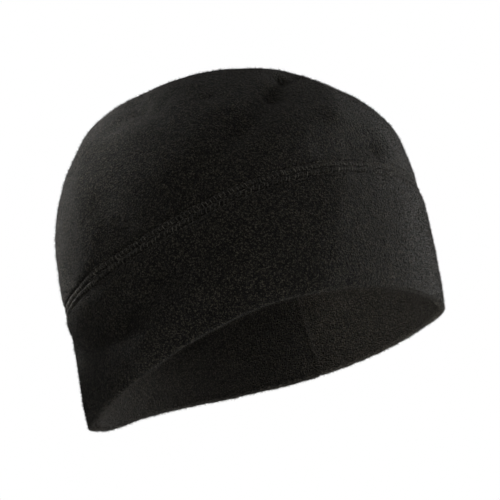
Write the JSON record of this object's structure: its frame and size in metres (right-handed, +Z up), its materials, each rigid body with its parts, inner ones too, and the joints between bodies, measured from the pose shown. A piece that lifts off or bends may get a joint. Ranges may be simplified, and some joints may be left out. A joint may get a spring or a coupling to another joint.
{
  "type": "fleece beanie",
  "caption": "Close-fitting dark fleece beanie: a rounded crown with short darts, sewn to a deep folded band, open below for a head.",
  "frame": {"origin": "where the top of a head meets the inside of the crown", "axes": "+Z up through the crown, -Y the front of the hat, +X the wearer's left"},
  "size_m": [0.1766, 0.1973, 0.143],
  "materials": {
    "fleece": "soft short-napped fleece, near black and slightly warm",
    "thread": "matt sewing thread, a shade lighter than the fleece"
  },
  "bodies": {
    "root": {"crown": "fleece", "band": "fleece"}
  },
  "joints": []
}
